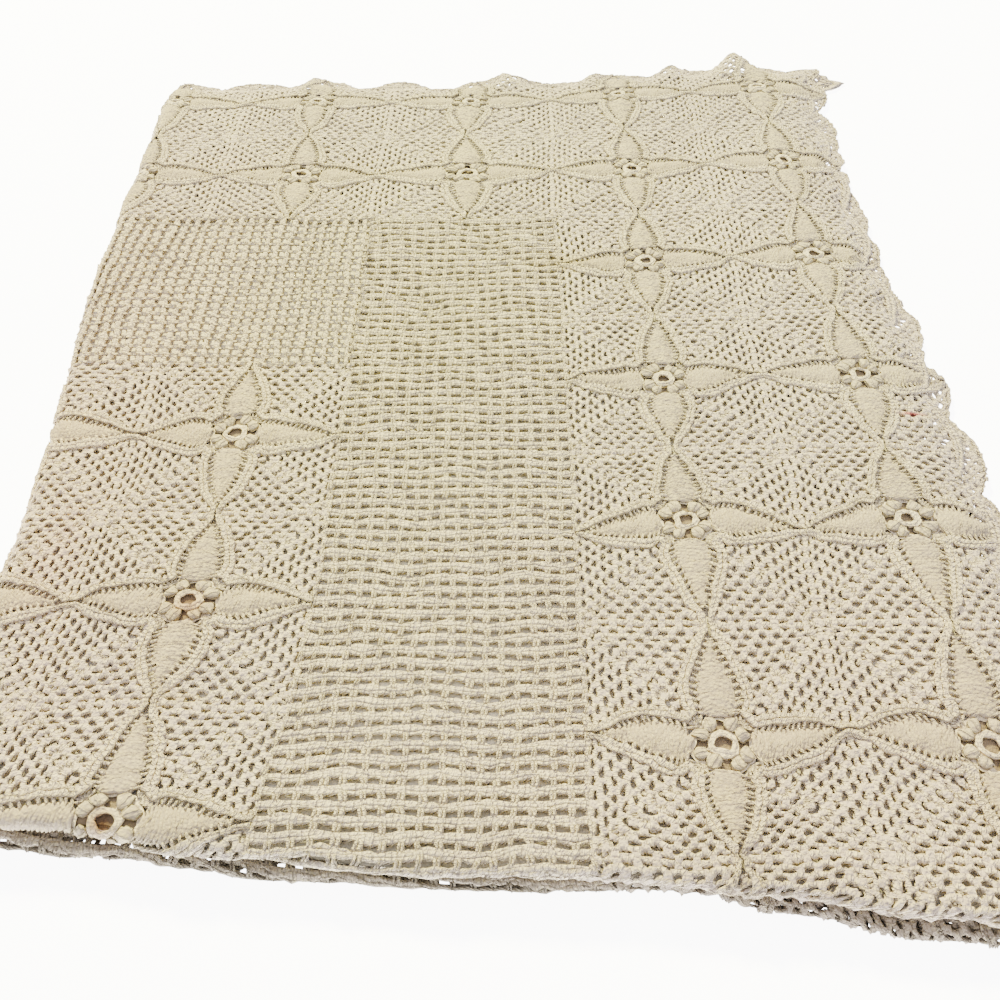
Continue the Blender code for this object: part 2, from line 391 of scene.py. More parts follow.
# %% The tree that works yarn along paths
# "outward" is the direction in which a row waves, "phase" counts its loops, and "size" thickens it.
# "Swell" makes each loop thicker at its foot, where the next stitch is worked into it.
def yarn_tree():
    tree = Growth(
        "yarn_along_paths",
        section="Object",
        width="Float",
        height="Float",
        step="Float",
        swing="Float",
        lift="Float",
        swell="Float",
        material="Material",
    )
    curve = tree.put("GeometryNodeMeshToCurve", {}, {"Mesh": tree.given("Geometry")})
    curve = tree.put(
        "GeometryNodeResampleCurve", {"mode": "LENGTH"}, {"Curve": curve, "Length": tree.given("Step")}
    )
    turn = tree.attribute("phase") * math.pi
    arch = tree.maths("ABSOLUTE", tree.maths("SINE", turn)) * 2 - 1
    curve = tree.store(curve, "thick", tree.attribute("size") * (1 + (1 - arch) * 0.5 * tree.given("Swell")))
    outward = tree.vector("SCALE", tree.attribute("outward", "FLOAT_VECTOR"))
    tree.group.links.new((arch * tree.given("Swing")).socket, outward.socket.node.inputs["Scale"])
    upward = tree.put("ShaderNodeCombineXYZ", {}, {"Z": arch * tree.given("Lift")})
    curve = tree.put(
        "GeometryNodeSetPosition", {}, {"Geometry": curve, "Offset": tree.vector("ADD", outward, upward)}
    )
    curve = tree.put("GeometryNodeSetCurveNormal", {"mode": "Z_UP"}, {"Curve": curve})
    curve = tree.store(curve, "along_yarn", tree.put("GeometryNodeSplineParameter", out="Length"))
    section = tree.put("GeometryNodeObjectInfo", {}, {"Object": tree.given("Section")}, out="Geometry")
    section = tree.store(section, "round_yarn", tree.put("GeometryNodeSplineParameter"))
    scale = tree.put(
        "ShaderNodeCombineXYZ", {}, {"X": tree.given("Width"), "Y": tree.given("Height"), "Z": 1.0}
    )
    section = tree.put("GeometryNodeTransform", {}, {"Geometry": section, "Scale": scale})
    mesh = tree.put(
        "GeometryNodeCurveToMesh",
        {},
        {"Curve": curve, "Profile Curve": section, "Scale": tree.attribute("thick"), "Fill Caps": True},
    )
    tree.end(mesh)
    return tree


# %% The tree that sets a stitch on points
# "turn" is the stitch's turn about the upright, and "scale" its size along three axes.
def stitch_tree():
    tree = Growth("stitch_on_points", stitch="Object", material="Material")
    stitch = tree.put("GeometryNodeObjectInfo", {}, {"Object": tree.given("Stitch")}, out="Geometry")
    instances = tree.put(
        "GeometryNodeInstanceOnPoints",
        {},
        {
            "Points": tree.given("Geometry"),
            "Instance": stitch,
            "Rotation": tree.attribute("turn", "FLOAT_VECTOR"),
            "Scale": tree.attribute("scale", "FLOAT_VECTOR"),
        },
    )
    tree.end(instances)
    return tree


YARN = yarn_tree()
STITCHES = stitch_tree()


def outline_object(name, points):
    """A closed outline in the XY plane, for a yarn's section: 1 wide and 1 high."""
    curve = bpy.data.curves.new(name, "CURVE")
    spline = curve.splines.new("POLY")
    spline.points.add(len(points) - 1)
    for point, (x, y) in zip(spline.points, points):
        point.co = (x, y, 0, 1)
    spline.use_cyclic_u = True
    return bpy.data.objects.new(name, curve)


# A chain stitch shows two legs with a groove between them, a loop is flat below, and a strand is round.
CHAIN = ((0.5, 0.35), (-0.5, 0.35), (-0.27, -0.5), (0, -0.12), (0.27, -0.5))
CHAIN_SECTION = outline_object("chain_section", CHAIN)
LOOP_SECTION = outline_object("loop_section", ((0.5, 0.3), (-0.5, 0.3), (-0.22, -0.5), (0.22, -0.5)))
ROUND_SECTION = outline_object("round_section", ((0.5, 0), (0, 0.5), (-0.5, 0), (0, -0.5)))
print("two trees:", YARN.group.name, "and", STITCHES.group.name)


# %% Growing a plain mesh from a tree
def grown(mesh, tree, **values):
    """Runs the tree on a mesh and gives the result as a plain mesh."""
    guide = bpy.data.objects.new(mesh.name, mesh)
    bpy.context.scene.collection.objects.link(guide)
    growth = guide.modifiers.new("growth", "NODES")
    growth.node_group = tree.group
    for item in tree.group.interface.items_tree:
        name = item.name.lower()
        if item.in_out == "INPUT" and name in values:
            growth[item.identifier] = values[name]
    ready = guide.evaluated_get(bpy.context.evaluated_depsgraph_get())
    result = bpy.data.meshes.new_from_object(ready)
    bpy.data.objects.remove(guide)
    bpy.data.meshes.remove(mesh)
    return result


def store_values(mesh, label, values):
    """Keeps a number or a direction for each point, under a name that trees and materials can read."""
    values = np.asarray(values, float)
    kind, key = ("FLOAT_VECTOR", "vector") if values.ndim == 2 else ("FLOAT", "value")
    mesh.attributes.new(label, kind, "POINT").data.foreach_set(key, values.ravel())


# %% Collecting paths and points
QUARTER_TURN = np.array([[0, 1, 0], [-1, 0, 0], [0, 0, 1]])
QUARTER_TURNS = [np.linalg.matrix_power(QUARTER_TURN, turn) for turn in range(4)]


class Paths:
    """Collects the paths that one yarn follows, in flat coordinates."""

    def __init__(self):
        self.points = []
        self.outward = []
        self.phase = []
        self.size = []
        self.edges = []
        self.count = 0

    def add(self, points, outward=None, phase=0, size=1, closed=False):
        points = np.asarray(points, float)
        count = len(points)
        self.points.append(points)
        self.outward.append(np.zeros((count, 3)) if outward is None else np.asarray(outward, float))
        self.phase.append(np.broadcast_to(phase, count))
        self.size.append(np.broadcast_to(size, count))
        ends = np.arange(count) + self.count
        pairs = np.stack([ends[:-1], ends[1:]], axis=1)
        if closed:
            pairs = np.vstack([pairs, [ends[-1], ends[0]]])
        self.edges.append(pairs)
        self.count += count

    def four(self):
        """The same paths four times, a quarter turn about the middle apart."""
        turned = Paths()
        for turn in QUARTER_TURNS:
            for points, outward, phase, size in zip(self.points, self.outward, self.phase, self.size):
                turned.add(points @ turn, outward @ turn, phase, size)
        return turned

    def mesh(self, name):
        mesh = bpy.data.meshes.new(name)
        mesh.from_pydata(np.vstack(self.points), np.vstack(self.edges).tolist(), [])
        store_values(mesh, "outward", np.vstack(self.outward))
        store_values(mesh, "phase", np.concatenate(self.phase))
        store_values(mesh, "size", np.concatenate(self.size))
        return mesh

    def worked(self, name, section, width, height, step, swing=0.0, lift=0.0, swell=0.0):
        return grown(
            self.mesh(name), YARN, section=section, width=width, height=height, step=step,
            swing=swing, lift=lift, swell=swell, material=COTTON,
        )


def spots(name, places, turn, scale):
    """Points for stitches, each with its turn about the upright and its scale."""
    mesh = bpy.data.meshes.new(name)
    mesh.from_pydata(places, [], [])
    turns = np.zeros((len(places), 3))
    turns[:, 2] = turn
    store_values(mesh, "turn", turns)
    store_values(mesh, "scale", np.broadcast_to(scale, (len(places), 3)))
    return mesh


def set_on(places, stitch, turn=0, scale=(1, 1, 1)):
    """A stitch on each of the places."""
    return grown(spots("stitches", places, turn, scale), STITCHES, stitch=stitch, material=COTTON)


# %% Meshes as arrays
class Lace:
    """A mesh as arrays, so that lace can be copied, cut and folded quickly."""

    def __init__(self, points, corners, starts, along, around):
        self.points = points
        self.corners = corners
        self.starts = starts
        self.along = along
        self.around = around

    @staticmethod
    def of(*meshes):
        """Reads meshes, and lace made before, into one."""
        parts = []
        for mesh in meshes:
            if isinstance(mesh, Lace):
                parts.append(mesh)
                continue
            points = np.empty(len(mesh.vertices) * 3)
            mesh.vertices.foreach_get("co", points)
            corners = np.empty(len(mesh.loops), int)
            mesh.loops.foreach_get("vertex_index", corners)
            starts = np.empty(len(mesh.polygons), int)
            mesh.polygons.foreach_get("loop_start", starts)
            values = []
            for label in ("along_yarn", "round_yarn"):
                value = np.zeros(len(mesh.vertices))
                if label in mesh.attributes:
                    mesh.attributes[label].data.foreach_get("value", value)
                values.append(value)
            parts.append(Lace(points.reshape(-1, 3), corners, starts, *values))
        return Lace.joined(parts)

    @staticmethod
    def joined(parts):
        firsts = np.cumsum([0] + [len(part.points) for part in parts])
        loops = np.cumsum([0] + [len(part.corners) for part in parts])
        return Lace(
            np.vstack([part.points for part in parts]),
            np.concatenate([part.corners + first for part, first in zip(parts, firsts)]),
            np.concatenate([part.starts + loop for part, loop in zip(parts, loops)]),
            np.concatenate([part.along for part in parts]),
            np.concatenate([part.around for part in parts]),
        )

    def sides(self):
        return np.diff(np.append(self.starts, len(self.corners)))

    def centres(self):
        totals = np.add.reduceat(self.points[self.corners], self.starts, axis=0)
        return totals / self.sides()[:, None]

    def triangles(self):
        return int((self.sides() - 2).sum())

    def kept(self, keep):
        """The faces for which keep is true, with the points that they use."""
        sides = self.sides()
        corners = self.corners[np.repeat(keep, sides)]
        used, corners = np.unique(corners, return_inverse=True)
        starts = np.cumsum(sides[keep]) - sides[keep]
        return Lace(self.points[used], corners.reshape(-1), starts, self.along[used], self.around[used])

    def moved(self, points):
        return Lace(points, self.corners, self.starts, self.along, self.around)

    def plain(self):
        """The same mesh without the creases between chain stitches, and without their painted shade."""
        along, around = np.full(len(self.points), LINK / 2), np.full(len(self.points), GROOVE)
        return Lace(self.points, self.corners, self.starts, along, around)

    def flipped(self, points):
        """A mirror image at new points. Its faces are turned round, so that they point outwards."""
        starts = np.repeat(self.starts, self.sides())
        ends = np.repeat(self.starts + self.sides() - 1, self.sides())
        corners = self.corners[starts + ends - np.arange(len(self.corners))]
        return Lace(points, corners, self.starts, self.along, self.around)

    def mirrored(self, across, along):
        points = self.points * (across, along, 1)
        return self.moved(points) if across * along > 0 else self.flipped(points)

    def mesh(self, name):
        mesh = bpy.data.meshes.new(name)
        mesh.vertices.add(len(self.points))
        mesh.vertices.foreach_set("co", self.points.ravel())
        mesh.loops.add(len(self.corners))
        mesh.loops.foreach_set("vertex_index", self.corners)
        mesh.polygons.add(len(self.starts))
        mesh.polygons.foreach_set("loop_start", self.starts)
        mesh.update(calc_edges=True)
        mesh.shade_smooth()
        store_values(mesh, "along_yarn", self.along)
        store_values(mesh, "round_yarn", self.around)
        return mesh


def quads(shape, order):
    """The faces of a grid of points. Each takes its four corners in the order given."""
    corner = np.arange(math.prod(shape)).reshape(shape)
    four = (corner[:-1, :-1], corner[:-1, 1:], corner[1:, 1:], corner[1:, :-1])
    return np.stack([four[number] for number in order], axis=-1)


def plain_lace(points, faces, along, around):
    """Lace from four-sided faces. "along" and "around" may be one number for all of its points."""
    faces = faces.reshape(-1, 4)
    along, around = np.broadcast_to(along, len(points)), np.broadcast_to(around, len(points))
    return Lace(points, faces.ravel(), np.arange(len(faces)) * 4, along, around)


# %% [markdown]
# ## The cotton
#
# Thick cotton yarn is matt, and its plies show as slanting ridges when we come close. An old bedspread is
# also not one even cream: it has pale brown patches. Shade is also painted into the colour: it is darker in
# the creases between stitches, in the plies' grooves, low in the lace and in the lower layers. The ridges and
# the painted shade of the creases follow each yarn, so they are worked out from the two attributes that the
# tree stored. The patches belong to the whole cloth, so they are worked out from Object coordinates.

# %% The cotton's stitches and its tints
LINK = 0.0042  # one chain stitch
PLY = 0.0016  # one turn of the yarn's plies
GROOVE = 0.635  # where the groove is, as a share of the way round a chain's section
# A length along the yarn below zero is a mark: close stitches to a link, and past it a hollow. Both get
# painted shade.
# Close stitches are lighter on a crest, half a link from zero, than in a gap, where more shade is painted.
PETAL_CREST, PETAL_GAP = -0.14 * LINK, -0.01 * LINK
BOBBLE_CREST, BOBBLE_GAP = -0.5 * LINK, -0.06 * LINK
HOLLOW = -2.0 * LINK
# A tint multiplies the cotton's colour round its place: old stains, broad changes of hue, a greyer far
# border, and painted shade along the near lip, where the upper layer curls down away from the light.
Tint = namedtuple("Tint", "x y reach_x reach_y colour")
TINTS = (
    Tint(-0.10, 0.05, 0.25, 0.42, (0.98, 1.00, 0.87, 1)),
    Tint(-0.42, -0.15, 0.20, 0.45, (1.03, 0.95, 0.93, 1)),
    Tint(0.30, -0.50, 0.40, 0.26, (1.01, 0.95, 0.95, 1)),
    Tint(0.10, 0.55, 0.55, 0.18, (0.93, 0.945, 0.945, 1)),
    # The next two tints are painted shade on the near lip, where it curls down away from the light.
    Tint(-0.25, -0.59, 0.30, 0.055, (0.75, 0.75, 0.76, 1)),
    Tint(0.17, -0.60, 0.10, 0.040, (0.74, 0.73, 0.76, 1)),
    Tint(0.064, 0.117, 0.040, 0.016, (0.88, 0.86, 0.72, 1)),
    Tint(-0.251, -0.350, 0.014, 0.014, (0.72, 0.58, 0.50, 1)),
    Tint(-0.272, -0.533, 0.009, 0.009, (0.45, 0.32, 0.26, 1)),
    Tint(-0.372, -0.300, 0.022, 0.060, (0.96, 0.90, 0.92, 1)),
    Tint(-0.238, -0.433, 0.018, 0.006, (0.88, 0.86, 0.74, 1)),
    Tint(-0.300, -0.420, 0.120, 0.090, (0.98, 0.96, 1.00, 1)),
    Tint(0.391, -0.122, 0.011, 0.002, (0.80, 0.25, 0.30, 1)),
)
CLOSE_SHADE = (0.73, 0.72, 0.66, 1)
HOLLOW_SHADE = (0.53, 0.49, 0.42, 1)
LOWER_FOLD_SHADE = (0.53, 0.54, 0.485, 1)
print("the cotton has", len(TINTS), "tints")


# %% Nodes that the cotton needs several times
class Cloth(Tree):
    """A material's node tree, with the few groups of nodes that the cotton is mixed from."""

    def attribute(self, name):
        return self.put("ShaderNodeAttribute", {"attribute_name": name}, out="Fac")

    def noise(self, place, scale):
        return self.put("ShaderNodeTexNoise", {}, {"Vector": place, "Scale": scale, "Detail": 2.0})

    def ramp(self, value, start, end, top=1.0):
        """0 to top as the value goes from start to end."""
        sockets = {"Value": value, "From Min": start, "From Max": end, "To Max": top}
        return self.put("ShaderNodeMapRange", {}, sockets)

    def part(self, place, axis):
        return self.put("ShaderNodeSeparateXYZ", {}, {"Vector": place}, out=axis)

    def shaded(self, tone, share, shade):
        """The tone, multiplied by a shade where the share is 1."""
        mixing = {"data_type": "RGBA", "blend_type": "MULTIPLY"}
        return self.put("ShaderNodeMix", mixing, {0: share, 6: tone, 7: shade}, out=2)

    def tinted(self, tone, place):
        for tint in TINTS:
            offset = self.vector("SUBTRACT", place, (tint.x, tint.y, 0))
            offset = self.vector("MULTIPLY", offset, (1 / tint.reach_x, 1 / tint.reach_y, 0))
            apart = self.put("ShaderNodeVectorMath", {"operation": "LENGTH"}, {0: offset}, out=1)
            tone = self.shaded(tone, self.maths("EXPONENT", apart * apart * -1), tint.colour)
        return tone


# %% The two cottons
def cotton(name, light, dark, patches, bump):
    """Cotton from light to dark. Patches of "patches" metres and of a stitch's size mix the two, and so does
    painted shade.
    """
    material = bpy.data.materials.new(name)
    material.use_nodes = True
    material.node_tree.nodes.clear()
    tree = Cloth(material.node_tree)
    place = tree.put("ShaderNodeTexCoord", out="Object")
    along, around = tree.attribute("along_yarn"), tree.attribute("round_yarn")

    # Each chain stitch is a lump, with a crease before the next, and its plies slant across it
    leg = tree.maths("ABSOLUTE", around - GROOVE) * (math.pi * 1.6)
    lumps = tree.maths("ABSOLUTE", tree.maths("SINE", along * (math.pi / LINK) + leg))
    crease = (1 - lumps) * (1 - lumps) * (1 - lumps)
    plies = tree.maths("SINE", along * (2 * math.pi / PLY) + around * (4 * math.pi))
    broad, medium, fuzz = (tree.noise(place, scale) for scale in (6.0, 1 / patches, 420.0))
    tufts = tree.put("ShaderNodeTexVoronoi", {}, {"Vector": place, "Scale": 370.0})

    # Painted shade: it is darker in creases, in the plies' grooves, low in the lace, and in the lower layers
    height = tree.part(place, "Z")
    low = tree.ramp(height, 0.021, 0.006, 0.8)
    deep = tree.ramp(tree.attribute("above_middle"), 0.0006, -0.0014, 0.15)
    share = (broad - 0.5) * 0.8 + (medium - 0.5) * 1.2 + (fuzz - 0.5) * 1.6 + (tufts - 0.4) * 1.5
    share = share + crease + plies * 0.05 + low + deep + 0.100
    tone = tree.put("ShaderNodeMix", {"data_type": "RGBA"}, {0: share, 6: light, 7: dark}, out=2)

    # Close stitches, hollows and the lower fold get little light
    close = tree.maths("LESS_THAN", along, 0.0)
    tone = tree.shaded(tone, close, CLOSE_SHADE)
    tone = tree.shaded(tone, tree.maths("LESS_THAN", along, -LINK), HOLLOW_SHADE)
    lower_fold = tree.ramp(tree.part(place, "Y"), -0.50, -0.54) * tree.ramp(height, 0.027, 0.005)
    tone = tree.shaded(tone, lower_fold, LOWER_FOLD_SHADE)

    relief = lumps + plies * 0.18 + (fuzz - tufts * 0.9) * (1 - close * 0.35)
    normal = tree.put("ShaderNodeBump", {}, {"Strength": bump, "Distance": 0.0016, "Height": relief})
    looks = {"Base Color": tree.tinted(tone, place), "Roughness": 0.8, "Normal": normal}
    shader = tree.put("ShaderNodeBsdfPrincipled", {}, looks)
    shader.socket.node.inputs["Specular IOR Level"].default_value = 0.2
    tree.put("ShaderNodeOutputMaterial", {}, {"Surface": shader})
    print(name, "has", len(material.node_tree.nodes), "nodes")
    return material


COTTON = cotton("crochet_cotton_lace", (0.86, 0.77, 0.515, 1), (0.61, 0.53, 0.445, 1), 0.009, 1.0)
INNER_COTTON = cotton("crochet_cotton_inner", (0.82, 0.77, 0.62, 1), (0.68, 0.63, 0.50, 1), 0.007, 0.6)

# %% [markdown]
# ## One flower square
#
# Each square is worked from its middle: a ring, eight raised bobbles, four ribbed petals with two cords
# round each, and then a net of loops that widens the work to a square. All sizes below are on the flat
# square. Every function makes one kind of stitch for the whole square: cords, loops and spokes as yarn
# along paths, knots, bobbles and shells as stitches on points, and the close petals as ribbed sheets,
# because single stitches would not show in them.

# %% Petals, and the cords round them
ROUND = 0.0063  # from one round of the net to the next
LOOP = 0.0126  # from a loop's foot to the next
LOOP_STEP = LOOP / 5
PETAL_START = 0.0205
PETAL_LENGTH = 0.0675
PETAL_HALF = 0.0152
PETAL_COLUMNS = 9
PETAL_RIM = -0.0012  # the petal's rim dips below the lace, and its middle rises over it
PETAL_FOOT = 0.0012
PETAL_DOME = 0.0030
RIB = 0.0030
CREST = 0.0009  # how far a rib stands out, and how far the gap before it goes down
CORD_GAP = 0.0064
CORD_STEP = 0.0042
KNOT_HEIGHT = 0.0008
PETAL_ROWS = np.arange(0.0212, 0.0830, RIB / 2)


def petal_half_width(reach):
    """Half of a petal's width at a distance from the flower's middle."""
    share = np.clip((reach - PETAL_START) / PETAL_LENGTH, 0, 1)
    return PETAL_HALF * np.sin(math.pi * share**0.52) * (1 - 0.35 * share)


def cord_offset(reach, which):
    """How far the first or second cord lies from the petal's middle line."""
    narrowing = 1 - 0.7 * eased((reach - 0.07) / 0.025)
    return petal_half_width(reach) + (CORD_GAP + CORD_STEP * (which - 1)) * narrowing


def petals():
    """Four ribbed, domed sheets. Every other row of points is a rib's crest, and a rim closes the edge."""
    share = np.concatenate([[-1.0], np.sin(np.linspace(-0.5, 0.5, PETAL_COLUMNS) * math.pi), [1.0]])
    rim = np.concatenate([[1], np.zeros(PETAL_COLUMNS), [1]])
    reach, share = np.meshgrid(PETAL_ROWS, share, indexing="ij")
    half = petal_half_width(reach)
    on_crest = np.arange(len(reach))[:, None] % 2
    crest = np.where(on_crest, CREST, -CREST)
    dome = PETAL_FOOT + PETAL_DOME * (1 - share**2) * np.sqrt(half / PETAL_HALF)
    height = np.where(rim, PETAL_RIM, dome + crest)
    angle = share * half / reach
    points = np.stack([reach * np.sin(angle), reach * np.cos(angle), height], axis=-1).reshape(-1, 3)
    # The petals' close stitches get painted shade, more in the gap before each rib than on its crest.
    along = np.where(on_crest, PETAL_CREST, PETAL_GAP) * np.ones(reach.shape)
    petal = plain_lace(points, quads(reach.shape, (1, 2, 3, 0)), along.ravel(), GROOVE)
    return Lace.joined([petal.moved(petal.points @ turn) for turn in QUARTER_TURNS])


def petal_spokes():
    """Short strands that hold the inner cord off the petal, with gaps between."""
    paths = Paths()
    for reach in np.arange(0.0235, 0.084, 0.0048):
        for side in (-1, 1):
            start = side * (petal_half_width(reach) - 0.002), reach, 0.0016
            end = side * cord_offset(reach + 0.0030, 1), reach + 0.0030, 0.0012
            paths.add([start, end])
    return paths.four()


def petal_cords():
    """Two cords a side. Each runs from a petal's tip to its foot, and out along the next petal."""
    paths = Paths()
    reach = np.arange(0.0955, 0.0235, -0.0025)
    thinner = 1 - 0.3 * eased((reach - 0.07) / 0.025)
    for which, height in ((1, 0.0026), (2, 0.0022)):
        side = cord_offset(reach, which)
        foot = math.hypot(side[-1], reach[-1])
        steep = math.atan2(reach[-1], side[-1])
        angles = np.linspace(steep, math.pi / 2 - steep, 7)[1:-1]
        out = np.column_stack([side, reach])
        turn = foot * np.column_stack([np.cos(angles), np.sin(angles)])
        flat = np.vstack([out, turn, out[::-1, ::-1]])
        size = np.concatenate([thinner, np.ones(len(turn)), thinner[::-1]])
        paths.add(np.column_stack([flat, np.full(len(flat), height)]), size=size)
    return paths.four()


print("a petal has", len(PETAL_ROWS) // 2, "ribs, and is", 2 * PETAL_HALF, "m wide")

# %% The net
NET_ROUNDS = np.arange(4, 16) * ROUND


def net_rounds():
    """Rounds of loops. Each goes round a corner, from one petal's cords to the next petal's."""
    paths = Paths()
    for reach in NET_ROUNDS:
        leg = LOOP_STEP * int((reach - cord_offset(reach, 2) + 0.0015) / LOOP_STEP)
        near = 0.3 * LOOP_STEP
        points = [(reach - leg, reach, 0), (reach - near, reach, 0), (reach, reach, 0)]
        points += [(reach, reach - near, 0), (reach, reach - leg, 0)]
        outward = [(0, 1, 0), (0, 1, 0), (0.7, 0.7, 0), (1, 0, 0), (1, 0, 0)]
        paths.add(points, outward, np.array([leg, near, 0, near, leg]) / LOOP)
    return paths.four()


def net_knots():
    """A small knot at each loop's foot, where it is worked into the round before."""
    places = []
    for reach in NET_ROUNDS:
        inner = reach - 0.0016
        places.append((reach - KNOT_HEIGHT, reach - KNOT_HEIGHT, KNOT_HEIGHT))
        for foot in np.arange(reach - LOOP, cord_offset(reach, 2) + 0.004, -LOOP):
            places += [(foot, inner, KNOT_HEIGHT), (inner, foot, KNOT_HEIGHT)]
    return set_on(np.vstack([np.array(places) @ turn for turn in QUARTER_TURNS]), KNOT)


print("the net has", len(NET_ROUNDS), "rounds")


# %% Knots, bobbles and shells
BOBBLE_HALF = (0.0050, 0.0054, 0.0030)
BOBBLE_STRANDS = 6


def knot():
    """A low pyramid with no floor, because nobody sees under it."""
    x, y, top = 0.0027, 0.0024, 0.0022
    mesh = bpy.data.meshes.new("knot")
    points = [(x, y, 0), (-x, y, 0), (-x, -y, 0), (x, -y, 0), (0, 0, top)]
    mesh.from_pydata(points, [], [(0, 1, 4), (1, 2, 4), (2, 3, 4), (3, 0, 4)])
    return bpy.data.objects.new("knot", mesh)


def bobble():
    """A raised oval of a few strands that lie side by side along Y."""
    wide, long, high = BOBBLE_HALF
    ball = bmesh.new()
    bmesh.ops.create_uvsphere(ball, u_segments=12, v_segments=6, radius=1)
    for vert in ball.verts:
        x, y, z = vert.co
        ridge = 1 + 0.24 * math.cos(BOBBLE_STRANDS * math.atan2(x, y))
        vert.co = (wide * x * ridge, long * z, -high * y * ridge)
    bmesh.ops.recalc_face_normals(ball, faces=ball.faces)
    # The sphere's faces come in a different order each run, so they are sorted.
    ball.verts.index_update()
    faces = sorted([corner.vert.index for corner in face.loops] for face in ball.faces)
    mesh = bpy.data.meshes.new("bobble")
    mesh.from_pydata([vert.co for vert in ball.verts], [], faces)
    ball.free()
    angles = [math.atan2(vert.co.x / wide, -vert.co.z / high) for vert in mesh.vertices]
    # The gaps between the strands get more painted shade than their crests.
    on_crest = np.cos(BOBBLE_STRANDS * np.array(angles)) > 0
    store_values(mesh, "along_yarn", np.where(on_crest, BOBBLE_CREST, BOBBLE_GAP))
    store_values(mesh, "round_yarn", np.full(len(angles), GROOVE))
    return bpy.data.objects.new("bobble", mesh)


def shell():
    """A fan of strands: they start together and spread along Y."""
    paths = Paths()
    for angle in np.radians([-60, -36, -12, 12, 36, 60]):
        spread = np.array([0.0010, 0.0070, 0.0135])
        height = np.array([0.0002, 0.0008, 0.0000])
        points = np.column_stack([spread * np.sin(angle), spread * np.cos(angle) - 0.0055, height])
        paths.add(points, size=np.array([0.5, 1.0, 1.1]))
    return bpy.data.objects.new("shell", paths.worked("shell", ROUND_SECTION, 0.0038, 0.0026, 0.0063))


KNOT = knot()
BOBBLE = bobble()
SHELL = shell()
for stitch in (KNOT, BOBBLE, SHELL):
    print("a", stitch.name, "has", len(stitch.data.polygons), "faces")

# %% The flower's middle
# A cord runs round the middle hole in two rings. Eight bobbles stand round it, two to each diagonal.
Ring = namedtuple("Ring", "reach height size count")
RINGS = (Ring(0.0073, 0.0016, 0.85, 16), Ring(0.0094, 0.0010, 0.75, 20))
DIAGONALS = math.pi / 4 + np.arange(4) * math.pi / 2
BOBBLE_REACH = 0.0168
BOBBLE_HEIGHT = 0.0012
BOBBLE_APART = 0.30  # half of the angle between the two of a pair
SHELL_REACHES = (0.0195, 0.041, 0.0525, 0.064, 0.0755, 0.087)
BASE_REACHES = (0.0090, 0.0108, 0.0190, 0.0235)
BASE_SIDES = 40


def centre_rings():
    paths = Paths()
    for ring in RINGS:
        angles = np.arange(ring.count) / ring.count * 2 * math.pi
        around = ring.reach * np.cos(angles), ring.reach * np.sin(angles), np.full(ring.count, ring.height)
        paths.add(np.column_stack(around), size=ring.size, closed=True)
    return paths


def centre_bobbles():
    angles = np.concatenate([DIAGONALS - BOBBLE_APART, DIAGONALS + BOBBLE_APART])
    heights = np.full(len(angles), BOBBLE_HEIGHT)
    places = np.column_stack([BOBBLE_REACH * np.sin(angles), BOBBLE_REACH * np.cos(angles), heights])
    return set_on(places, BOBBLE, -angles, (1.08, 1.08, 0.85))


def centre_disc(reaches, height, length):
    """Rounds of close work about the middle, with holes in the second round, before the petals."""
    reach, angles = np.meshgrid(reaches, np.arange(BASE_SIDES + 1) / BASE_SIDES * 2 * math.pi, indexing="ij")
    points = np.stack([reach * np.sin(angles), reach * np.cos(angles), np.full(reach.shape, height)], axis=-1)
    faces = quads(reach.shape, (3, 2, 1, 0))
    keep = np.ones(faces.shape[:2], bool)
    if len(keep) > 1:
        keep[1] = np.abs((np.arange(BASE_SIDES) + 5) % 10 - 4.5) >= 2
    return plain_lace(points.reshape(-1, 3), faces[keep], length, GROOVE)


def centre_base():
    """The first rounds under the bobbles, and a disc below them that is painted with shade, seen through
    their holes.
    """
    hollow = centre_disc((0.0, BASE_REACHES[-1]), -0.0018, HOLLOW)
    return Lace.joined([centre_disc(BASE_REACHES, 0.0, 0.5 * LINK), hollow])


def corner_shells():
    """Shells in a row along each diagonal. They make a thick rib in the net."""
    places, turns = [], []
    for turn in DIAGONALS:
        for reach in SHELL_REACHES:
            far = reach * math.sqrt(2)
            places.append((far * math.sin(turn), far * math.cos(turn), 0.0))
            turns.append(-turn)
    return set_on(places, SHELL, turns)


print("the middle has", centre_base().triangles(), "triangles under its bobbles")


# %% The whole square, worked once
def plain_square():
    """Only the net and the cords, for the edges of the layers below."""
    return Lace.of(
        net_rounds().worked("net", LOOP_SECTION, 0.0044, 0.0026, LOOP / 4, swing=0.0014, swell=0.3),
        petal_cords().worked("cords", LOOP_SECTION, 0.0044, 0.0028, 0.0048),
    )


def flower_square():
    return Lace.of(
        net_rounds().worked(
            "net", LOOP_SECTION, 0.0052, 0.0024, LOOP_STEP, swing=0.0013, lift=0.0001, swell=0.3
        ),
        net_knots(),
        petal_spokes().worked("spokes", ROUND_SECTION, 0.0030, 0.0024, 0.012),
        petal_cords().worked("cords", CHAIN_SECTION, 0.0048, 0.0030, 0.0032),
        Lace.of(centre_rings().worked("rings", CHAIN_SECTION, 0.0040, 0.0030, 0.0032)).plain(),
        centre_bobbles(),
        centre_base(),
        corner_shells(),
        petals(),
    )


FLOWER_SQUARE = flower_square()
PLAIN_SQUARE = plain_square()
print("a flower square has", FLOWER_SQUARE.triangles(), "triangles")

# %% [markdown]
# ## The openwork bands
#
# Between the squares lie bands of plain openwork: rows of treble crochet, each made here as three strands
# side by side, and posts that cross the gaps between the rows. From above, each post is a small upright
# "o". A little noise in every strand and post keeps the band from looking machine-made.

